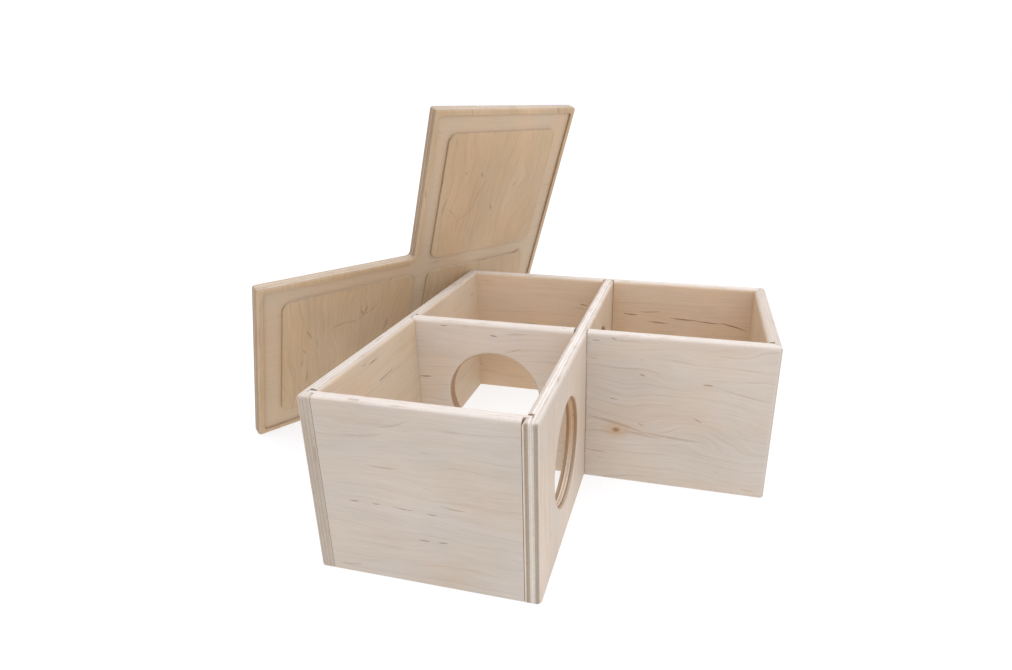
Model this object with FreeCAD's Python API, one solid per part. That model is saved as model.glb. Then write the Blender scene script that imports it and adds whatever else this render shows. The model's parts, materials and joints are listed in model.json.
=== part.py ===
import FreeCAD, Part
import math
import os

# A small-animal house of birch plywood: an L-shaped box of three chambers with round doorways,
# open at the bottom, and a loose L-shaped lid that leans on the back-left corner of the box.
# Millimetres. X to the right, Y to the back, Z up. The origin is on the floor, in the middle of
# the place where the partition meets the wall down the middle, so all three chambers measure
# from it.

Vector = FreeCAD.Vector

# driving dimensions
ply = 12.0                    # thickness of every panel
wall_height = 150.0
clear_width = 156.0           # each chamber inside, along X
clear_depth = 160.0           # each chamber inside, along Y
doorway_radius = 45.0
doorway_height = 74.0         # centre of each doorway above the floor
round_over = 4.0              # on the top edges of the walls and the outside corners
doorway_round = 3.0           # on the rims of the doorways
ease = 0.6                    # sandpaper touch on every other edge that shows

# joints between the walls
tongue = ply / 2              # tongues and laps are half the panel thick
groove_depth = 6.0
housing_depth = 4.0           # full-thickness housings, two of them back to back in mid_wall
housing_stop = 20.0           # the two in mid_wall stop this far below the top, out of sight
glue_gap = 0.6                # tongues and housed ends stop short of the bottom
fit_gap = 0.4                 # air left on one side of a housing and at each shoulder
past = 1.0                    # how far a cut runs past the face that it starts from

# the lid
overhang = 7.0                # lid past the outer faces of the walls
rim_width = 6.0               # left proud round the underside, outside the walls
pad_inset = 25.0              # from the lid's edge to the pads that drop inside the walls
channel_width = 18.0          # between two pads, over a wall
channel_depth = 2.5
lid_round = 2.5               # round the lid's top and bottom edges
plan_corner = 3.0             # outer corners of the lid
plan_inner_corner = 5.0       # the one inner corner of the lid
channel_corner = 3.5
channel_inner_corner = 9.0
pad_corner = 10.0
lean = math.radians(20.8)     # lid from the vertical
heading = math.radians(58.6)  # lid's bottom edge, turned from +X
contact_along = 259.5         # along the lid's bottom edge to the corner that it leans on
lid_gap = 0.4                 # air between the lid and that corner

# places that follow from them
toward = Vector(math.sin(heading), -math.cos(heading), 0)  # from the lid to the house
half = ply / 2
x_in = half + clear_width     # inner faces of left_wall and right_wall, left and right
x_out = x_in + ply
y_in = half + clear_depth     # inner faces of front_panel and back_wall
y_out = y_in + ply
x_room = half + clear_width / 2
y_room = half + clear_depth / 2
stop_height = wall_height - housing_stop


def block(x0, x1, y0, y1, z0=0.0, z1=wall_height):
    return Part.makeBox(x1 - x0, y1 - y0, z1 - z0, Vector(x0, y0, z0))


def round_edges(shape, radius, wanted):
    edges = [edge for edge in shape.Edges if wanted(edge.CenterOfMass)]
    return shape.makeFillet(radius, edges)


def near(a, b):
    return abs(a - b) < 0.01


def rounded_panel(x0, x1, y0, y1, free_ends=(), corners=()):
    """One wall: its top edges rounded over, and its bottom edges just eased.

    free_ends are the places along the wall where an end shows; its top edge is rounded too.
    corners are the (x, y) places of upright edges that stand at an outside corner of the house.
    """
    box = block(x0, x1, y0, y1)
    along_y = y1 - y0 > x1 - x0

    def is_rounded(c):
        along, across, length_middle = (c.y, c.x, (y0 + y1) / 2) if along_y \
            else (c.x, c.y, (x0 + x1) / 2)
        if near(c.z, wall_height):
            return near(along, length_middle) or any(near(along, end) for end in free_ends)
        return near(c.z, wall_height / 2) and any(near(c.x, x) and near(c.y, y) for x, y in corners)

    box = round_edges(box, round_over, is_rounded)
    return round_edges(box, ease, lambda c: near(c.z, 0.0))


def doorway(shape, centre, axis):
    """Bore a round doorway through a wall and round over its two rims."""
    start = centre - axis * ply
    bored = shape.cut(Part.makeCylinder(doorway_radius, 2 * ply, start, axis))
    rim_length = 2 * math.pi * doorway_radius
    rims = [edge for edge in bored.Edges
            if near(edge.Length, rim_length) and (edge.CenterOfMass - centre).Length < ply]
    return bored.makeFillet(doorway_round, rims)


def slot(x0, x1, y0, y1, top=wall_height + past):
    """A groove, housing or rebate that runs up a wall from the floor, right through the top."""
    return block(x0, x1, y0, y1, -past, top)


def shoulder(x0, x1):
    """What comes off the end of a panel above a housing that stops short of the top."""
    return block(x0, x1, -half - past, half + past, stop_height - glue_gap, wall_height + past)


def left_wall():
    wall = rounded_panel(-x_out, -x_in, -y_out, y_out, free_ends=(-y_out, y_out),
                         corners=((-x_out, -y_out), (-x_out, y_out)))
    wall = wall.cut(slot(-x_in - groove_depth, -x_in + past, -y_out + tongue, -y_in))
    wall = wall.cut(slot(-x_in - groove_depth, -x_in + past, y_in, y_out - tongue))
    return wall.cut(slot(-x_in - housing_depth, -x_in + past, -half - fit_gap, half))


def mid_wall():
    wall = rounded_panel(-half, half, -y_out, y_in + housing_depth - glue_gap,
                         free_ends=(-y_out,), corners=((half, -y_out),))
    wall = wall.cut(slot(-half - past, -half + groove_depth, -y_out + tongue, -y_in))
    wall = wall.cut(slot(-half - past, -half + housing_depth, -half - fit_gap, half, stop_height))
    wall = wall.cut(slot(half - housing_depth, half + past, -half - fit_gap, half, stop_height))
    wall = doorway(wall, Vector(0, -y_room, doorway_height), Vector(1, 0, 0))
    return doorway(wall, Vector(0, y_room, doorway_height), Vector(1, 0, 0))


def front_panel():
    reach = groove_depth - glue_gap
    panel = rounded_panel(-x_in - reach, -half + reach, -y_out, -y_in)
    panel = panel.cut(slot(-x_out, -x_in + fit_gap, -y_out - past, -y_out + tongue))
    return panel.cut(slot(-half - fit_gap, half, -y_out - past, -y_out + tongue))


def partition():
    reach = housing_depth - glue_gap
    wall = rounded_panel(-x_in - reach, -half + reach, -half, half)
    wall = wall.cut(shoulder(-half - fit_gap, half))
    return doorway(wall, Vector(-x_room, 0, doorway_height), Vector(0, 1, 0))


def back_wall():
    reach = groove_depth - glue_gap
    wall = rounded_panel(-x_in - reach, x_in + reach, y_in, y_out)
    wall = wall.cut(slot(-x_out, -x_in + fit_gap, y_out - tongue, y_out + past))
    wall = wall.cut(slot(x_in - fit_gap, x_out, y_out - tongue, y_out + past))
    return wall.cut(slot(-half, half + fit_gap, y_in - past, y_in + housing_depth))


def right_wall():
    wall = rounded_panel(x_in, x_out, fit_gap, y_out, free_ends=(y_out,),
                         corners=((x_out, y_out),))
    wall = wall.cut(slot(x_in - past, x_in + tongue, -past, half + fit_gap))
    return wall.cut(slot(x_in - past, x_in + groove_depth, y_in, y_out - tongue))


def right_front_panel():
    panel = rounded_panel(half - housing_depth + glue_gap, x_out, -half, half,
                          free_ends=(x_out,), corners=((x_out, -half),))
    panel = panel.cut(shoulder(0.0, half + fit_gap))
    return panel.cut(slot(x_out - tongue, x_out + past, 0.0, half + past))


def l_outline(inset):
    """Corners of the lid's L, moved in by inset; the inner corner is the fourth."""
    arm = x_out + half + 2 * overhang
    depth = 2 * y_out + 2 * overhang
    width = 2 * x_out + 2 * overhang
    step = y_out - half
    return [(inset, inset), (arm - inset, inset), (arm - inset, step + inset),
            (width - inset, step + inset), (width - inset, depth - inset), (inset, depth - inset)]


def l_plate(inset, thickness, outer_radius, inner_radius):
    """An L-shaped plate whose upright corners are rounded in plan."""
    corners = [Vector(x, y, 0) for x, y in l_outline(inset)]
    plate = Part.Face(Part.makePolygon(corners + corners[:1])).extrude(Vector(0, 0, thickness))
    inner = corners[2]
    outer = [corner for corner in corners if corner is not inner]

    def is_upright(centre, places):
        return any(near(centre.x, one.x) and near(centre.y, one.y) for one in places) \
            and near(centre.z, thickness / 2)

    plate = round_edges(plate, outer_radius, lambda c: is_upright(c, outer))
    return round_edges(plate, inner_radius, lambda c: is_upright(c, [inner]))


def pad(x0, x1, y0, y1):
    """One of the raised fields under the lid, which drops into a chamber."""
    box = block(x0, x1, y0, y1, 0.0, channel_depth)
    return round_edges(box, pad_corner, lambda c: near(c.z, channel_depth / 2)
                       and (near(c.x, x0) or near(c.x, x1)) and (near(c.y, y0) or near(c.y, y1)))


def lid_pads():
    outer = l_outline(pad_inset)
    x_wall = overhang + x_out                # the middle wall, seen from the lid's corner
    y_wall = overhang + y_out
    side = channel_width / 2
    return [pad(outer[0][0], x_wall - side, outer[0][1], y_wall - side),
            pad(outer[0][0], x_wall - side, y_wall + side, outer[4][1]),
            pad(x_wall + side, outer[4][0], y_wall + side, outer[4][1])]


def flat_lid():
    """The lid lying flat, underside at Z 0, its front-left corner at the origin."""
    plate = l_plate(0.0, ply, plan_corner, plan_inner_corner)
    plate = round_edges(plate, lid_round, lambda c: near(c.z, 0) or near(c.z, ply))
    channel = l_plate(rim_width, channel_depth, channel_corner, channel_inner_corner)
    for one in lid_pads():
        channel = channel.cut(one)
    return plate.cut(channel)


def lid_axes():
    """Where the lid's own X, Y and Z point once it leans."""
    along_x = toward * math.sin(lean) + Vector(0, 0, math.cos(lean))
    along_y = Vector(math.cos(heading), math.sin(heading), 0)
    return along_x, along_y, along_x.cross(along_y)


def lid():
    """The lid on its edge, resting on the floor and leaning on the back-left corner."""
    along_x, along_y, normal = lid_axes()
    turn = FreeCAD.Rotation(along_x, along_y, normal, "ZXY")

    # the rounded bottom edge touches the floor a little below the lid's own corner
    corner_height = lid_round * (1 - math.cos(lean) - math.sin(lean))
    house_corner = Vector(-x_out, y_out, wall_height)
    up_the_lid = (wall_height - corner_height) / math.cos(lean)
    corner = house_corner - along_x * up_the_lid - along_y * contact_along

    # slide it back over the floor until it just clears the rounded corner of the wall
    turned_wall = left_wall()
    turned_wall.Placement = FreeCAD.Placement(Vector(), turn.inverted())
    reach = turned_wall.optimalBoundingBox(False, False).ZMax + lid_gap
    corner = corner - toward * (reach - corner.dot(normal)) / math.cos(lean)

    leaning = flat_lid()
    leaning.Placement = FreeCAD.Placement(corner, turn)
    return leaning


def build():
    shapes = {
        "left_wall": left_wall(),
        "front_panel": front_panel(),
        "mid_wall": mid_wall(),
        "partition": partition(),
        "back_wall": back_wall(),
        "right_wall": right_wall(),
        "right_front_panel": right_front_panel(),
        "lid": lid(),
    }
    os.makedirs("parts", exist_ok=True)
    for name, shape in shapes.items():
        print(name, shape.isValid(), len(shape.Solids), shape.BoundBox)
        shape.exportStep("parts/" + name + ".step")


build()
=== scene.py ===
import bpy
import json
import math
from mathutils import Euler, Matrix, Vector

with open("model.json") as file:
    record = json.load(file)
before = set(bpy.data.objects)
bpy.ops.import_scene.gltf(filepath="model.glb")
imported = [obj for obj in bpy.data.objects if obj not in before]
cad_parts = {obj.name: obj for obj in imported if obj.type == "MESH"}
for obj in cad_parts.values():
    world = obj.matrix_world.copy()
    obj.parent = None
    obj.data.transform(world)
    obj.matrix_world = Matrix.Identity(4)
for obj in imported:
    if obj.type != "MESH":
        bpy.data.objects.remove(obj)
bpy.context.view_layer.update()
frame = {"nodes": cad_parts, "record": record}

mm = 0.001
print("frame loaded:", ", ".join(sorted(frame["nodes"])))


# a small helper that builds node trees with fewer words
class Tree:
    def __init__(self, tree):
        self.tree = tree

    def node(self, kind, **settings):
        made = self.tree.nodes.new(kind)
        for name, value in settings.items():
            setattr(made, name, value)
        return made

    # a socket gets linked, and a plain value is written into the input
    def plug(self, value, socket):
        if isinstance(value, bpy.types.NodeSocket):
            self.tree.links.new(value, socket)
        elif value is not None:
            socket.default_value = value

    def group(self, which, values):
        made = self.node("ShaderNodeGroup", node_tree=which)
        for name, value in values.items():
            self.plug(value, made.inputs[name])
        return made.outputs

    def math(self, operation, first, second=None):
        made = self.node("ShaderNodeMath", operation=operation)
        self.plug(first, made.inputs[0])
        self.plug(second, made.inputs[1])
        return made.outputs[0]

    def plus(self, first, second):
        return self.math("ADD", first, second)

    def minus(self, first, second):
        return self.math("SUBTRACT", first, second)

    def times(self, first, second):
        return self.math("MULTIPLY", first, second)

    def over(self, first, second):
        return self.math("DIVIDE", first, second)

    def flip(self, value):
        return self.minus(1.0, value)

    # how far a pattern is from its middle, made stronger or weaker
    def swing(self, pattern, strength):
        return self.times(self.minus(pattern, 0.5), strength)

    # the first value where the choice is 0, the second where it is 1
    def either(self, choice, first, second):
        return self.plus(self.times(first, self.flip(choice)), self.times(second, choice))

    def vector(self, operation, first, second=None):
        made = self.node("ShaderNodeVectorMath", operation=operation)
        self.plug(first, made.inputs[0])
        self.plug(second, made.inputs[1])
        return made.outputs["Value"] if operation == "LENGTH" else made.outputs[0]

    def join(self, x, y, z=0.0):
        made = self.node("ShaderNodeCombineXYZ")
        for value, socket in zip((x, y, z), made.inputs):
            self.plug(value, socket)
        return made.outputs[0]

    def split(self, value):
        made = self.node("ShaderNodeSeparateXYZ")
        self.plug(value, made.inputs[0])
        return made.outputs[0], made.outputs[1], made.outputs[2]

    def noise(self, place, detail, roughness, scale=1.0):
        made = self.node("ShaderNodeTexNoise")
        self.plug(place, made.inputs["Vector"])
        self.plug(scale, made.inputs["Scale"])
        self.plug(detail, made.inputs["Detail"])
        self.plug(roughness, made.inputs["Roughness"])
        return made.outputs["Fac"]

    # noise over a sheet; look is its scale per mm along and across, its detail and roughness
    def patches(self, along, across, layer, look):
        perAlong, perAcross, detail, roughness = look
        place = self.join(self.times(along, perAlong), self.times(across, perAcross), layer)
        return self.noise(place, detail, roughness)

    def fade(self, value, low, high, outLow=0.0, outHigh=1.0):
        made = self.node("ShaderNodeMapRange", interpolation_type="SMOOTHSTEP")
        for put, socket in zip((value, low, high, outLow, outHigh), made.inputs):
            self.plug(put, socket)
        return made.outputs[0]

    def mix(self, amount, first, second, blend="MIX"):
        made = self.node("ShaderNodeMix", data_type="RGBA", blend_type=blend)
        self.plug(amount, made.inputs[0])
        self.plug(colour(first), made.inputs[6])
        self.plug(colour(second), made.inputs[7])
        return made.outputs[2]

    def tint(self, first, second):
        return self.mix(1.0, first, second, "MULTIPLY")

    # a colour for each equal step of a value from 0 to 1
    def steps(self, value, colours):
        made = self.node("ShaderNodeValToRGB")
        ramp = made.color_ramp
        ramp.interpolation = "CONSTANT"
        while len(ramp.elements) < len(colours):
            ramp.elements.new(1.0)
        for place, one in enumerate(colours):
            ramp.elements[place].position = place / len(colours)
            ramp.elements[place].color = colour(one)
        self.plug(value, made.inputs[0])
        return made.outputs[0]


def colour(value):
    if isinstance(value, tuple):
        return (*value, 1.0)
    return value


def newGroup(name, ins, outs):
    group = bpy.data.node_groups.new(name, "ShaderNodeTree")
    for label, kind in ins:
        group.interface.new_socket(label, in_out="INPUT", socket_type="NodeSocket" + kind)
    for label, kind in outs:
        group.interface.new_socket(label, in_out="OUTPUT", socket_type="NodeSocket" + kind)
    tree = Tree(group)
    given = tree.node("NodeGroupInput")
    back = tree.node("NodeGroupOutput")
    return group, tree, given.outputs, back.inputs


# one streak (cracks, bark lines, and a painted shadow line along a joint gap): a thin ragged lens
# from start to end, bowed a little
streakLook = {
    "waver": 1.2,                       # mm, how far its middle line strays
    "waverPerMm": 0.35,
    "thinnest": 0.02,                   # mm
    "edge": (1.3, 0.3),                 # fades in between these parts of its width
    "broken": (0.22, 1.6, 3.0, 0.6),    # where it is fainter
    "brokenFade": (0.28, 0.55, 0.35, 1.0),
}


def makeStreakGroup():
    group, t, given, back = newGroup("barkStreak", [
        ("Place", "Vector"), ("Start", "Vector"), ("End", "Vector"),
        ("Width", "Float"), ("Bow", "Float")], [("Mask", "Float")])
    along, across, _ = t.split(t.vector("SUBTRACT", given["Place"], given["Start"]))
    runX, runY, _ = t.split(t.vector("SUBTRACT", given["End"], given["Start"]))
    part = t.over(along, runX)
    hump = t.times(t.times(part, t.flip(part)), 4.0)        # 0 at both ends, 1 in the middle
    ragged = t.noise(t.join(t.times(along, streakLook["waverPerMm"]), runX), 3.0, 0.6)
    line = t.plus(t.times(part, runY), t.times(hump, given["Bow"]))
    line = t.plus(line, t.swing(ragged, streakLook["waver"]))
    away = t.math("ABSOLUTE", t.minus(across, line))
    wide = t.times(t.math("MAXIMUM", hump, 0.0), t.plus(0.5, ragged))
    wide = t.math("MAXIMUM", t.times(given["Width"], wide), streakLook["thinnest"])
    mask = t.fade(t.over(away, wide), *streakLook["edge"])
    inside = t.times(t.math("GREATER_THAN", part, 0.0), t.math("LESS_THAN", part, 1.0))
    broken = t.patches(along, across, runY, streakLook["broken"])
    mask = t.times(mask, t.fade(broken, *streakLook["brokenFade"]))
    t.plug(t.times(mask, inside), back["Mask"])
    return group


# a pin knot: how far it pushes the grain aside, its dark heart and the stain round it
knotLook = {
    "longer": 1.5,              # its heart is this much longer than wide
    "reachAlong": 6.0,          # sizes over which it pushes the grain aside
    "reachAcross": 0.35,        # a smaller number reaches further
    "settle": 4.0,              # how soon the grain lies straight again
    "ragged": 0.9,
    "raggedScale": 0.9,
    "heart": (0.75, 0.2),       # fades in between these many sizes from its middle
    "stain": (2.6, 0.5),
}


def makeKnotGroup():
    group, t, given, back = newGroup("pinKnot", [
        ("Place", "Vector"), ("Centre", "Vector"), ("Size", "Float")],
        [("Push", "Float"), ("Heart", "Float"), ("Stain", "Float")])
    x, y, _ = t.split(t.vector("SUBTRACT", given["Place"], given["Centre"]))
    across = t.over(y, given["Size"])
    along = t.over(x, t.times(given["Size"], knotLook["longer"]))
    wide = t.over(x, t.times(given["Size"], knotLook["reachAlong"]))
    away = t.math("SQRT", t.plus(t.math("POWER", along, 2.0), t.math("POWER", across, 2.0)))
    narrow = t.times(across, knotLook["reachAcross"])
    reach = t.plus(t.math("POWER", wide, 2.0), t.math("POWER", narrow, 2.0))
    push = t.over(across, t.plus(1.0, t.times(reach, knotLook["settle"])))
    t.plug(t.times(push, given["Size"]), back["Push"])
    rough = t.noise(given["Place"], 3.0, 0.5, scale=knotLook["raggedScale"])
    away = t.plus(away, t.swing(rough, knotLook["ragged"]))
    t.plug(t.fade(away, *knotLook["heart"]), back["Heart"])
    t.plug(t.fade(away, *knotLook["stain"]), back["Stain"])
    return group


# the body of the sheet: nine crossed veneers, pale where the fibres lie along the surface
# and browner where they end in it
plySheet = {
    "plies": 9,
    "thickness": 12.0,                  # mm
    "uneven": 0.5,                      # mm, how much the veneers wave up and down
    "waves": (0.02, 0.02, 2.0, 0.5),
    "glueLine": (0.30, 0.21, 0.13),
    "glueFade": (0.40, 0.49),           # a joint is at 0.5, the middle of a veneer at 0
    "endFade": (0.25, 0.95),
    "faceFade": (0.55, 0.95),           # how squarely a surface looks out to count as a face
}

# the patterns of one veneer, with its rings, and how much each does to the shade and height
veneerLook = {
    "slow": (0.0075, 0.016, 2.0, 0.45),
    "patchy": (0.02, 0.09, 3.0, 0.6),
    "fibre": (0.045, 1.4, 4.0, 0.7),
    "band": (0.010, 0.22, 4.0, 0.6),
    "cloud": (0.012, 0.018, 2.0, 0.5),
    "ringsPerMm": 0.085,
    "ringFade": (0.41, 0.5),
    "ringPatches": (0.38, 0.62),
    "fibreShade": 1.2,
    "bandShade": 0.7,
    "cloudShade": 0.8,
    "fibreHeight": 0.6,
    "bandHeight": 0.25,
    "glueDepth": 0.5,
    "fleckAlong": 0.055,                # flecks per mm
    "fleckAcross": 0.5,
    "fleckSize": 0.4,
}


def makePlyGroup():
    group, t, given, back = newGroup("birchPly", [
        ("Place", "Vector"), ("Facing", "Vector"), ("Seed", "Float"), ("Wander", "Float"),
        ("Push", "Float"), ("Lines", "Float"), ("Flecks", "Float"), ("Contrast", "Float")],
        [("Shade", "Float"), ("End", "Float"), ("Glue", "Float"), ("Fleck", "Float"),
         ("Height", "Float"), ("Depth", "Float"), ("Line", "Float")])
    u, v, w = t.split(given["Place"])
    nu, nv, nw = t.split(given["Facing"])
    seed = given["Seed"]
    thick, plies = plySheet["thickness"], plySheet["plies"]

    # which veneer, and whether its fibres run along u or across
    wave = t.patches(u, v, seed, plySheet["waves"])
    depth = t.plus(w, t.swing(wave, plySheet["uneven"]))
    depth = t.math("MINIMUM", t.math("MAXIMUM", depth, 0.02), thick - 0.02)
    place = t.times(depth, plies / thick)
    whole = t.math("FLOOR", place)
    crossed = t.math("MODULO", whole, 2.0)
    t.plug(t.over(place, plies), back["Depth"])

    end = t.either(crossed, t.math("ABSOLUTE", nu), t.math("ABSOLUTE", nv))
    t.plug(t.fade(end, *plySheet["endFade"]), back["End"])

    joint = t.math("ABSOLUTE", t.minus(t.math("FRACT", place), 0.5))
    onEdge = t.fade(t.math("ABSOLUTE", nw), 0.97, 0.6)
    glue = t.times(t.fade(joint, *plySheet["glueFade"]), onEdge)
    t.plug(glue, back["Glue"])

    # fibre direction of this veneer: swap u and v in the crossed ones
    along = t.either(crossed, u, v)
    across = t.either(crossed, v, u)
    veneer = t.plus(seed, t.times(whole, 7.3))      # so that no two veneers are alike

    # the slow wander of the rings over a rotary-cut face
    slow = t.patches(along, across, veneer, veneerLook["slow"])
    across = t.minus(t.plus(across, t.swing(slow, given["Wander"])), given["Push"])

    rings = t.math("FRACT", t.times(across, veneerLook["ringsPerMm"]))
    ring = t.fade(t.math("ABSOLUTE", t.minus(rings, 0.5)), *veneerLook["ringFade"])
    patchy = t.patches(along, across, t.plus(veneer, 3.0), veneerLook["patchy"])
    onFace = t.fade(t.math("ABSOLUTE", nw), *plySheet["faceFade"])
    ring = t.times(t.times(ring, onFace), t.fade(patchy, *veneerLook["ringPatches"]))
    t.plug(t.times(ring, given["Lines"]), back["Line"])

    fibre = t.patches(along, across, veneer, veneerLook["fibre"])
    band = t.patches(along, across, veneer, veneerLook["band"])
    cloud = t.patches(u, v, t.plus(seed, 11.0), veneerLook["cloud"])
    shade = t.plus(0.5, t.swing(fibre, veneerLook["fibreShade"]))
    shade = t.plus(shade, t.swing(band, veneerLook["bandShade"]))
    shade = t.plus(shade, t.swing(cloud, veneerLook["cloudShade"]))
    shade = t.plus(0.5, t.swing(shade, given["Contrast"]))
    t.plug(t.math("MINIMUM", t.math("MAXIMUM", shade, 0.0), 1.0), back["Shade"])

    # short dark flecks along the fibres
    cells = t.node("ShaderNodeTexVoronoi", feature="F1")
    t.plug(t.join(t.times(along, veneerLook["fleckAlong"]),
                  t.times(across, veneerLook["fleckAcross"]), veneer), cells.inputs["Vector"])
    t.plug(1.0, cells.inputs["Scale"])
    pick, size, _ = t.split(cells.outputs["Color"])
    chosen = t.fade(pick, t.flip(given["Flecks"]), 1.0)
    near = t.fade(cells.outputs["Distance"], t.times(size, veneerLook["fleckSize"]), 0.05)
    t.plug(t.times(near, chosen), back["Fleck"])

    height = t.plus(t.times(fibre, veneerLook["fibreHeight"]),
                    t.times(band, veneerLook["bandHeight"]))
    t.plug(t.minus(height, t.times(glue, veneerLook["glueDepth"])), back["Height"])
    return group


streakGroup = makeStreakGroup()
knotGroup = makeKnotGroup()
plyGroup = makePlyGroup()
print("wood patterns ready")


# axes of a sheet (along the face grain, across it, through the thickness) and its low corner
def sheetPlace(name, grain, through):
    along = Vector(grain)
    thick = Vector(through)
    turn = Matrix((along, thick.cross(along), thick))
    corners = [turn @ point.co for point in frame["nodes"][name].data.vertices]
    corner = Vector([min(c[axis] for c in corners) for axis in range(3)])
    return turn, corner


# where the doorways are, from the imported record
mounts = {mount["name"]: mount for mount in frame["record"]["mounts"]}
openings = {opening["name"]: opening for opening in frame["record"]["physics"]["openings"]}
doorRadius = mounts["exterior_doorway"]["dims"]["r_mm"]


def openingMiddle(name):
    lowCorner, highCorner = openings[name]["box_m"]
    return (Vector(lowCorner) + Vector(highCorner)) / 2


def backOf(name):
    return max(point.co.y for point in frame["nodes"][name].data.vertices)


flat = (1.0, 1.0, 0.0)      # leaves out the way through the sheet

# the faces and edges of a sheet; doorway rims are burnished by the cutter, tops are sanded and
# painted paler as a painted highlight
cutLook = {
    "routedDepth": 1.5,                     # mm below a face, from where a router has been
    "routedCalm": 0.6,                      # how much of the figure is gone there
    "routedShade": 0.6,
    "blush": (0.014, 0.022, 3.0, 0.55),     # cooler and warmer areas of a face
    "blushFade": (0.36, 0.64),
    "cooler": (0.985, 1.0, 1.02),
    "warmer": (1.02, 0.99, 0.96),
    "rimFade": (4.0, 1.5),                  # mm outside the bore of the doorway
    "rimUpward": (0.0, 0.8, 0.9, 0.4),      # 0.9 of the burnish on upright wood, 0.4 on level
    # how squarely a surface faces up to be sanded and get the painted highlight
    "sandedUpward": (0.35, 0.8),
    "smear": (0.045, 0.045, 3.0, 0.6),
    "smearThrough": 0.30,
    "smearFade": (0.52, 0.74),
    "fleck": 0.55,
    "knotStain": 0.42,
    "knotHeart": 0.85,
    "specular": 0.35,
    "paleRoughness": -0.10,                 # pale wood is smoother, end grain rougher
    "endRoughness": 0.12,
    "bump": 0.5,
    "relief": 0.12,                         # mm
}


# knots push the grain aside before anything is drawn
def addKnots(t, spot, knots):
    push, heart, stain = 0.0, 0.0, 0.0
    for centreU, centreV, size in knots:
        knot = t.group(knotGroup, {"Place": t.vector("MULTIPLY", spot, flat),
                                   "Centre": (centreU, centreV, 0.0), "Size": size})
        push = t.plus(knot["Push"], push)
        heart = t.math("MAXIMUM", knot["Heart"], heart)
        stain = t.math("MAXIMUM", knot["Stain"], stain)
    return push, heart, stain


# the two faces are different veneers, and a router leaves a third one showing between them; the
# faces inside the chambers are also painted brighter, as painted light that makes up for the shade
# in there
def faceColour(t, sheet, ply, u, v, w):
    half = plySheet["thickness"] / 2
    lowSide = t.math("LESS_THAN", w, half)
    deep = t.math("LESS_THAN", t.math("ABSOLUTE", t.minus(w, half)),
                  half - cutLook["routedDepth"])
    plain = t.flip(t.times(deep, cutLook["routedCalm"]))
    even = t.times(t.minus(ply["Shade"], cutLook["routedShade"]), plain)
    even = t.plus(cutLook["routedShade"], even)
    face = t.mix(even, sheet["darkFace"], sheet["paleFace"])
    face = t.mix(t.times(ply["Line"], plain), face, t.tint(face, sheet["lineTint"]))
    tone = t.mix(lowSide, sheet["highFace"], sheet["lowFace"])
    if "insideUpTo" in sheet:      # only this far is the high face inside a chamber
        inside = t.times(t.math("LESS_THAN", v, sheet["insideUpTo"]), t.flip(lowSide))
        # inside the chamber the high face gets the warmer tint with its painted light
        tone = t.mix(inside, tone, goldenWithPaintedLight)
    tone = t.mix(deep, tone, sheet["routedFace"])
    face = t.tint(face, tone)
    blush = t.patches(u, v, sheet["seed"] + 5.0, cutLook["blush"])
    blush = t.fade(blush, *cutLook["blushFade"])
    return t.tint(face, t.mix(blush, cutLook["cooler"], cutLook["warmer"]))


def edgeColour(t, sheet, ply, spot, up, doorways):
    u, v, w = t.split(spot)
    long = t.mix(ply["Shade"], sheet["darkLong"], sheet["paleLong"])
    ends = t.mix(ply["Shade"], sheet["darkEnd"], sheet["paleEnd"])
    cut = t.mix(ply["End"], long, ends)
    tones = [(one, one * warm, one * warm * warm) for one, warm in sheet["tones"]]
    cut = t.tint(cut, t.steps(ply["Depth"], tones))
    cut = t.mix(t.times(ply["Glue"], sheet["glue"]), cut, plySheet["glueLine"])

    # the cutter leaves the rims of the doorways burnished brown
    rims = 0.0
    for middle in doorways:
        away = t.vector("MULTIPLY", t.vector("SUBTRACT", spot, middle), flat)
        away = t.fade(t.vector("LENGTH", away), *[doorRadius + one for one in cutLook["rimFade"]])
        rims = t.math("MAXIMUM", away, rims)
    burnt = t.times(rims, t.fade(up, *cutLook["rimUpward"]))
    cut = t.mix(burnt, cut, t.tint(cut, sheet["burnish"]))

    # the top edges are sanded smooth and hardly show their veneers, and where they face up they are
    # painted paler, as a painted highlight of the light from above
    sanded = t.times(t.fade(up, *cutLook["sandedUpward"]), sheet["sanded"])
    sanded = t.times(sanded, t.flip(rims))
    smoothWithHighlight = t.mix(ply["Shade"], sheet["darkTop"], sheet["paleTop"])
    smear = t.patches(u, v, t.times(w, cutLook["smearThrough"]), cutLook["smear"])
    smoothWithHighlight = t.mix(t.fade(smear, *cutLook["smearFade"]), smoothWithHighlight, sheet["smearTop"])
    return t.mix(sanded, cut, smoothWithHighlight)


# a streak marks one side of the sheet only
def streakMask(t, spot, streaks):
    u, v, w = t.split(spot)
    marked = 0.0
    for side, startU, startV, endU, endV, width, bow, strength in streaks:
        start, end, place = (startU, startV, 0.0), (endU, endV, 0.0), spot
        if abs(endU - startU) < abs(endV - startV):     # this one runs across the grain
            start, end, place = (startV, startU, 0.0), (endV, endU, 0.0), t.join(v, u)
        streak = t.group(streakGroup, {"Place": place, "Start": start, "End": end,
                                       "Width": width, "Bow": bow})
        there = t.math("GREATER_THAN" if side else "LESS_THAN", w, plySheet["thickness"] / 2)
        mask = t.times(t.times(streak["Mask"], there), strength)
        marked = t.math("MAXIMUM", mask, marked)
    return marked


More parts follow.
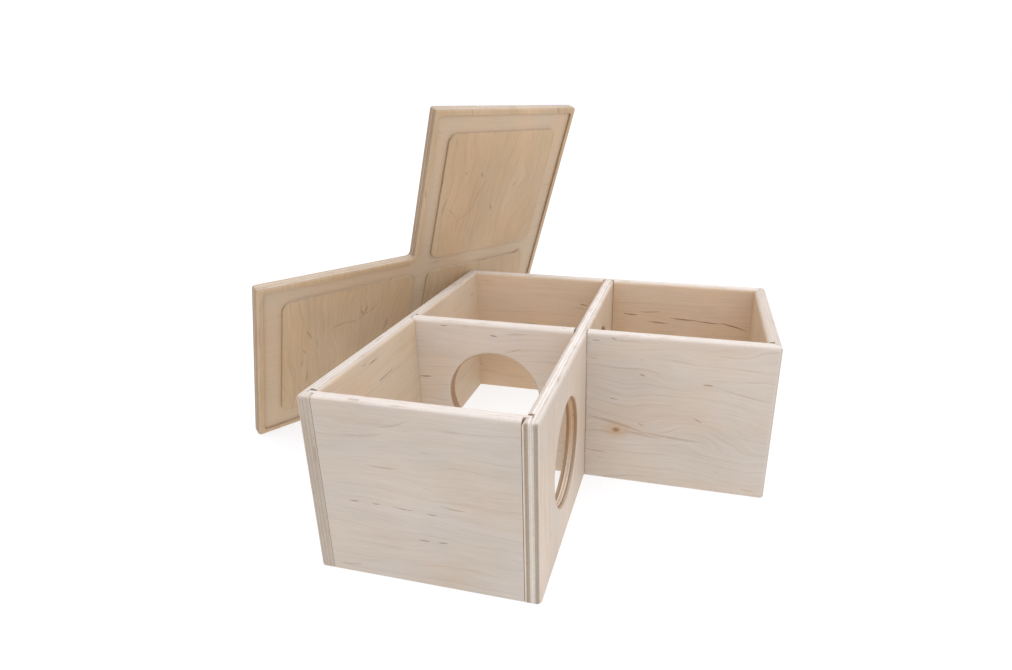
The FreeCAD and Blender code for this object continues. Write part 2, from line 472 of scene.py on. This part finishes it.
def plyMaterial(name, sheet, turn, corner):
    material = bpy.data.materials.new(name + "Birch")
    material.use_nodes = True
    material.node_tree.nodes.clear()
    t = Tree(material.node_tree)
    coords = t.node("ShaderNodeTexCoord").outputs
    spin = turn.to_euler()

    place = t.node("ShaderNodeMapping", vector_type="POINT")
    t.plug(coords["Object"], place.inputs["Vector"])
    t.plug(-corner / mm, place.inputs["Location"])
    t.plug(spin, place.inputs["Rotation"])
    t.plug((1 / mm, 1 / mm, 1 / mm), place.inputs["Scale"])
    spot = place.outputs[0]      # mm from the low corner, in the axes of the sheet

    facing = t.node("ShaderNodeMapping", vector_type="POINT")
    t.plug(coords["Normal"], facing.inputs["Vector"])
    t.plug(spin, facing.inputs["Rotation"])

    push, heart, stain = addKnots(t, spot, sheet.get("knots", ()))
    ply = t.group(plyGroup, {
        "Place": spot, "Facing": facing.outputs[0], "Seed": sheet["seed"],
        "Wander": sheet["wander"], "Push": push, "Lines": sheet["lines"],
        "Flecks": sheet["flecks"], "Contrast": sheet["contrast"]})

    u, v, w = t.split(spot)
    _, _, nw = t.split(facing.outputs[0])
    _, _, up = t.split(coords["Normal"])
    onFace = t.fade(t.math("ABSOLUTE", nw), *plySheet["faceFade"])
    face = faceColour(t, sheet, ply, u, v, w)
    doorways = [(turn @ middle - corner) / mm for middle in sheet.get("doorways", ())]
    wood = t.mix(onFace, edgeColour(t, sheet, ply, spot, up, doorways), face)
    wood = t.mix(t.times(ply["Fleck"], cutLook["fleck"]), wood, sheet["fleck"])
    # streaks are bark lines and cracks, and one on the right_front_panel is a painted shadow line
    # along a joint gap
    wood = t.mix(streakMask(t, spot, sheet["streaks"]), wood, sheet["bark"])
    if "knots" in sheet:
        wood = t.mix(t.times(stain, cutLook["knotStain"]), wood, sheet["stain"])
        wood = t.mix(t.times(heart, cutLook["knotHeart"]), wood, sheet["bark"])

    shader = t.node("ShaderNodeBsdfPrincipled")
    t.plug(wood, shader.inputs["Base Color"])
    rough = t.plus(sheet["roughness"], t.times(ply["Shade"], cutLook["paleRoughness"]))
    rough = t.plus(rough, t.times(ply["End"], cutLook["endRoughness"]))
    t.plug(rough, shader.inputs["Roughness"])
    t.plug(cutLook["specular"], shader.inputs["Specular IOR Level"])
    bump = t.node("ShaderNodeBump")
    t.plug(cutLook["bump"], bump.inputs["Strength"])
    t.plug(cutLook["relief"] * mm, bump.inputs["Distance"])
    t.plug(ply["Height"], bump.inputs["Height"])
    t.plug(bump.outputs[0], shader.inputs["Normal"])
    out = t.node("ShaderNodeOutputMaterial")
    t.plug(shader.outputs[0], out.inputs["Surface"])
    return material


def putBirch(name, sheet):
    turn, corner = sheetPlace(name, sheet["grain"], sheet["through"])
    for slot in frame["nodes"][name].material_slots:
        slot.material = plyMaterial(name, sheet, turn, corner)
    print("birch on", name)


# brightness of the nine veneers, from the low side of the sheet to the high side, and how
# much green and blue each keeps (below 1 is a warmer brown)
evenTones = [(1.06, 1.0), (0.90, 0.96), (1.0, 1.0), (0.86, 0.95), (1.02, 1.0),
             (0.90, 0.97), (1.04, 1.0), (0.88, 0.96), (1.06, 1.0)]
centreTones = [(1.14, 0.99), (0.80, 0.91), (0.70, 0.89), (1.40, 1.05), (1.20, 1.04),
               (1.34, 1.06), (0.66, 0.96), (0.80, 0.95), (1.12, 0.98)]
leftTones = [(1.10, 1.0), (0.88, 0.97), (0.98, 1.0), (0.84, 0.96), (0.98, 1.0),
             (0.86, 0.97), (0.98, 0.98), (0.84, 0.97), (1.10, 1.01)]

wallSheet = {
    "seed": 1.0, "wander": 26.0, "lines": 0.30, "flecks": 0.03, "contrast": 1.0,
    "paleFace": (0.595, 0.520, 0.440), "darkFace": (0.470, 0.390, 0.305),
    "lowFace": (1.0, 1.0, 1.0), "highFace": (1.0, 1.0, 1.0), "routedFace": (1.0, 1.0, 1.0),
    "lineTint": (0.74, 0.63, 0.51),
    "paleLong": (0.60, 0.53, 0.445), "darkLong": (0.47, 0.39, 0.305),
    "paleEnd": (0.50, 0.43, 0.345), "darkEnd": (0.35, 0.275, 0.20),
    "paleTop": (0.84, 0.77, 0.69), "darkTop": (0.72, 0.63, 0.53), "smearTop": (0.62, 0.50, 0.385),
    "sanded": 0.72,
    "fleck": (0.27, 0.18, 0.11), "bark": (0.20, 0.105, 0.05), "stain": (0.44, 0.30, 0.17),
    "glue": 0.50, "roughness": 0.62, "tones": evenTones, "burnish": (0.92, 0.66, 0.44),
}
goldenWithPaintedLight = (1.20, 1.12, 0.99)      # the faces inside the chambers are a warmer veneer, and are painted brighter too, as painted light for the shade in there

alongX, alongY, upright = (1, 0, 0), (0, 1, 0), (0, 0, 1)
low, high = False, True     # which face of the sheet a streak is on

# grain and thickness directions, and what is special about each sheet; a streak is its face,
# start and end along and across the grain in mm, width, bow and strength
sheets = {
    "left_wall": dict(
        wallSheet, grain=alongY, through=alongX, seed=2.4, tones=leftTones, highFace=goldenWithPaintedLight,
        sanded=0.5,
        streaks=[(high, 82, 139, 97, 139, 0.7, 0.3, 0.8), (high, 319, 127, 335, 127, 0.6, 0.3, 0.6),
                 (high, 236, 96, 252, 97, 0.5, 0.6, 0.5), (low, 60, 88, 84, 90, 0.6, 1.0, 0.7),
                 (low, 210, 52, 246, 48, 0.8, 1.5, 0.7), (low, 300, 110, 322, 112, 0.5, 0.5, 0.6)]),
    "front_panel": dict(
        wallSheet, grain=alongX, through=alongY, seed=5.1, highFace=goldenWithPaintedLight,
        streaks=[(low, 26, 83, 35, 83, 0.6, 0.2, 0.7), (low, 45, 83, 52, 83, 0.5, 0.2, 0.8),
                 (low, 60, 83, 79, 84, 0.5, 0.5, 0.65), (low, 88, 85, 97, 85, 0.5, 0.2, 0.7),
                 (low, 98, 76, 120, 78, 0.6, 0.8, 0.45), (low, 80, 109, 90, 109, 0.6, 0.3, 0.7),
                 (low, 95, 109, 104, 108, 0.5, 0.2, 0.8), (low, 43, 50, 70, 50, 0.6, 0.8, 0.4),
                 (low, 24, 27, 60, 23, 1.2, 1.6, 0.22), (low, 11, 144, 32, 141, 1.2, 0.8, 0.22),
                 (low, 52, 18, 84, 8, 0.9, 2.4, 0.20), (high, 50, 60, 74, 62, 0.6, 0.8, 0.7)]),
    "mid_wall": dict(
        wallSheet, grain=upright, through=alongX, seed=9.7, tones=centreTones,
        # its low face and the part of its high face inside the chamber are painted brighter, as
        # painted light for the shade there, and the rest of its high face is painted brighter as a
        # painted highlight of the light from the right
        lowFace=goldenWithPaintedLight, highFace=(1.10, 1.08, 1.06),
        insideUpTo=(backOf("mid_wall") - backOf("right_front_panel")) / mm,
        # its top is painted paler still, as a painted highlight
        paleTop=(0.92, 0.86, 0.79), sanded=0.6,
        doorways=[Vector(mounts["exterior_doorway"]["pos_m"]),
                  openingMiddle("back_doorway_middle")],
        streaks=[(high, 36, 308, 36, 317, 0.5, 0.3, 0.6), (high, 60, 330, 74, 331, 0.5, 0.4, 0.35),
                 (high, 22, 120, 46, 122, 0.7, 0.8, 0.6), (low, 84, 204, 104, 205, 0.6, 0.6, 0.6)]),
    "partition": dict(
        wallSheet, grain=alongX, through=alongY, seed=13.2,
        # its low face is painted much brighter, as painted light that makes up for the shade inside
        # the house
        lowFace=(1.36, 1.38, 1.40), highFace=goldenWithPaintedLight,
        doorways=[openingMiddle("partition_doorway_middle")],
        streaks=[(low, 29, 5, 37, 5, 0.7, 0.5, 0.7), (low, 79, 11, 87, 12, 0.9, 0.4, 0.8),
                 (low, 3, 61, 17, 60, 0.9, 0.2, 0.75), (low, 92, 28, 112, 21, 0.6, 1.0, 0.4),
                 (high, 30, 30, 52, 32, 0.7, 0.8, 0.6)]),
    "back_wall": dict(
        # its low face, inside the house, is a warmer veneer painted brighter, as painted light for
        # the shade there
        wallSheet, grain=alongX, through=alongY, seed=17.9, lowFace=(1.26, 1.12, 0.94),
        bark=(0.22, 0.085, 0.035),
        streaks=[(low, 239, 40, 271, 41, 0.9, 0.5, 0.85), (low, 266, 41, 299, 43, 0.8, 0.6, 0.8),
                 (low, 295, 42, 328, 50, 0.9, -1.0, 0.85), (low, 214, 46, 240, 47, 0.9, 0.3, 0.8),
                 (low, 186, 38, 204, 39, 1.0, 0.6, 0.8), (low, 134, 31, 145, 32, 0.9, 0.3, 0.9),
                 (low, 128, 36, 141, 37, 0.5, 0.3, 0.5), (low, 60, 66, 96, 68, 0.6, 1.2, 0.4),
                 (high, 60, 40, 96, 42, 0.9, 1.2, 0.7), (high, 210, 88, 262, 84, 0.8, 1.5, 0.7)]),
    "right_wall": dict(
        # its low face, inside the chamber, is a warmer veneer painted a little brighter, as painted
        # light for the shade there
        wallSheet, grain=upright, through=alongX, seed=21.3, lowFace=(1.14, 1.01, 0.83),
        paleTop=(0.74, 0.65, 0.55), darkTop=(0.60, 0.50, 0.40), sanded=0.55,
        streaks=[(high, 40, 98, 62, 99, 0.8, 0.6, 0.8), (high, 96, 52, 112, 50, 0.6, 0.4, 0.7)]),
    "right_front_panel": dict(
        wallSheet, grain=alongX, through=alongY, seed=25.6, wander=58.0, lines=0.40,
        lowFace=(1.07, 1.07, 1.07), highFace=goldenWithPaintedLight, bark=(0.30, 0.15, 0.055),
        stain=(0.50, 0.29, 0.13),
        knots=[(33, 96, 4.4)],
        streaks=[(low, 4, 84, 62, 97, 1.8, -1.6, 0.42), (low, 54, 95, 116, 99, 1.5, 1.0, 0.36),
                 # the last streak on the next line, at 3.9 mm running up the panel, is a painted
                 # shadow line along the gap where it meets the mid_wall
                 (low, 36, 94, 77, 100, 1.2, 1.0, 0.32), (low, 3.9, 16, 3.9, 158, 0.5, 0.0, 0.9),
                 (low, 108, 41, 118, 41, 0.9, 0.3, 0.75),
                 (low, 116, 41, 169, 52, 0.7, 1.5, 0.30), (low, 52, 36, 58, 38, 0.9, 0.3, 0.75),
                 (low, 25, 63, 34, 64, 0.7, 0.3, 0.65), (low, 53, 86, 59, 89, 0.9, 0.3, 0.65),
                 (low, 103, 75, 111, 79, 0.9, 0.4, 0.65), (low, 8, 7, 16, 7, 0.6, 0.2, 0.7),
                 (low, 25, 3, 31, 5, 0.8, 0.3, 0.6), (low, 4, 120, 24, 121, 0.8, 0.5, 0.55),
                 (low, 6, 24, 15, 25, 0.5, 0.2, 0.5), (low, 150, 143, 163, 144, 0.6, 0.2, 0.5),
                 (high, 60, 70, 84, 72, 0.7, 0.8, 0.6)]),
}

for name, sheet in sheets.items():
    putBirch(name, sheet)


lidPose = {
    "lean": 20.8,        # degrees from the vertical
    "heading": 58.6,     # the bottom edge, degrees from +X
}
lidTones = [(1.12, 1.0), (1.02, 0.99), (0.80, 0.92), (0.84, 0.94), (1.04, 1.0),
            (1.04, 1.0), (0.84, 0.94), (1.0, 0.98), (0.58, 0.86)]
lidSheet = dict(
    wallSheet, seed=31.8, wander=66.0, lines=0.30, flecks=0.06, contrast=0.85, tones=lidTones,
    paleFace=(0.635, 0.470, 0.300), darkFace=(0.430, 0.290, 0.160),
    routedFace=(1.04, 1.10, 1.22),
    paleLong=(0.51, 0.395, 0.27), darkLong=(0.36, 0.255, 0.155),
    paleEnd=(0.40, 0.285, 0.175), darkEnd=(0.26, 0.17, 0.095),
    paleTop=(0.80, 0.70, 0.57), darkTop=(0.58, 0.46, 0.33), smearTop=(0.46, 0.34, 0.22),
    sanded=0.42,
    bark=(0.20, 0.11, 0.045),
    streaks=[(low, 132, 50, 118, 56, 0.8, 0.3, 0.7), (low, 107, 47, 101, 49, 0.9, 0.2, 0.6),
             (low, 93, 46, 83, 45, 0.7, 0.2, 0.6), (low, 75, 53, 59, 51, 0.8, 0.3, 0.6),
             (low, 141, 111, 134, 115, 1.1, 0.2, 0.7), (low, 145, 119, 135, 116, 0.9, 0.2, 0.7),
             (low, 294, 223, 290, 224, 0.9, 0.1, 0.7), (low, 292, 245, 285, 247, 1.0, 0.1, 0.8),
             (low, 250, 267, 242, 270, 1.0, 0.1, 0.8), (low, 60, 250, 84, 253, 0.7, 0.5, 0.6),
             (low, 123, 74, 129, 98, 0.8, 2.0, 0.5), (low, 129, 96, 130, 111, 0.7, -1.5, 0.5),
             (low, 130, 110, 136, 122, 0.8, 1.5, 0.5), (low, 135, 120, 147, 133, 0.8, -1.5, 0.45),
             (low, 236, 222, 251, 206, 1.1, 2.0, 0.30), (low, 234, 220, 254, 245, 1.1, -3.0, 0.30),
             (low, 253, 242, 286, 259, 1.0, -3.0, 0.28), (low, 262, 300, 288, 318, 1.1, 3.0, 0.25)])


def lidAxes():
    lean = math.radians(lidPose["lean"])
    heading = math.radians(lidPose["heading"])
    toward = Vector((math.sin(heading), -math.cos(heading), 0.0))
    up = toward * math.sin(lean) + Vector((0.0, 0.0, math.cos(lean)))
    along = Vector((math.cos(heading), math.sin(heading), 0.0))
    return up, up.cross(along)


upLid, lidNormal = lidAxes()
putBirch("lid", dict(lidSheet, grain=upLid, through=lidNormal))


floorLook = {"size": 60.0, "glow": 0.70, "paint": 0.34, "roughness": 0.9, "shine": 0.1}


def makeFloor():
    mesh = bpy.data.meshes.new("paleTable")
    half = floorLook["size"] / 2
    mesh.from_pydata([(-half, -half, 0), (half, -half, 0), (half, half, 0), (-half, half, 0)], [],
                     [(0, 1, 2, 3)])
    table = bpy.data.objects.new("paleTable", mesh)
    bpy.context.scene.collection.objects.link(table)
    material = bpy.data.materials.new("paleTable")
    material.use_nodes = True
    shader = material.node_tree.nodes["Principled BSDF"]
    shader.inputs["Base Color"].default_value = (floorLook["paint"],) * 3 + (1.0,)
    shader.inputs["Roughness"].default_value = floorLook["roughness"]
    shader.inputs["Specular IOR Level"].default_value = floorLook["shine"]
    shader.inputs["Emission Color"].default_value = (1.0, 1.0, 1.0, 1.0)
    shader.inputs["Emission Strength"].default_value = floorLook["glow"]
    mesh.materials.append(material)


makeFloor()


# soft lamps: (name, place, aimed at, width, height, power)
lamps = [
    ("overheadBox", (0.1, 0.1, 2.2), (0.0, 0.0, 0.0), 2.0, 2.0, 17.0),
    ("sideBox", (2.2, -0.6, 1.5), (0.0, 0.0, 0.1), 1.4, 1.4, 6.0),
]
skyLook = {"strength": 1.0, "tint": (1.0, 1.03, 1.15, 1.0)}


def makeLights():
    for name, place, target, width, height, power in lamps:
        lamp = bpy.data.lights.new(name, "AREA")
        lamp.shape = "RECTANGLE"
        lamp.size = width
        lamp.size_y = height
        lamp.energy = power
        holder = bpy.data.objects.new(name, lamp)
        holder.location = place
        aim = Vector(target) - Vector(place)
        holder.rotation_euler = aim.to_track_quat("-Z", "Y").to_euler()
        bpy.context.scene.collection.objects.link(holder)
    world = bpy.data.worlds.new("studio")
    world.use_nodes = True
    back = world.node_tree.nodes["Background"]
    back.inputs["Color"].default_value = skyLook["tint"]
    back.inputs["Strength"].default_value = skyLook["strength"]
    bpy.context.scene.world = world
    bpy.context.scene.view_settings.view_transform = "Standard"


makeLights()


cameraSetup = {
    "place": (0.0944, -0.5160, 0.3448),
    "turn": 13.71,        # degrees to the left of straight ahead
    "down": 20.24,        # degrees below level
    "roll": -0.17,
    "sensor": 36.0,       # mm
    "lens": 21.80,        # mm
    "shift": (-0.0415, -0.0074),
}


def makeCamera():
    data = bpy.data.cameras.new("tripodCamera")
    data.sensor_width = cameraSetup["sensor"]
    data.lens = cameraSetup["lens"]
    data.shift_x, data.shift_y = cameraSetup["shift"]
    data.clip_start = 0.01
    data.clip_end = 50.0
    camera = bpy.data.objects.new("tripodCamera", data)
    camera.location = cameraSetup["place"]
    tilt = Euler((math.radians(90.0 - cameraSetup["down"]), 0.0,
                  math.radians(cameraSetup["turn"]))).to_matrix()
    roll = Matrix.Rotation(math.radians(cameraSetup["roll"]), 3, "Z")
    camera.rotation_euler = (tilt @ roll).to_euler()
    bpy.context.scene.collection.objects.link(camera)
    bpy.context.scene.camera = camera


makeCamera()
print("table, lamps and camera placed")
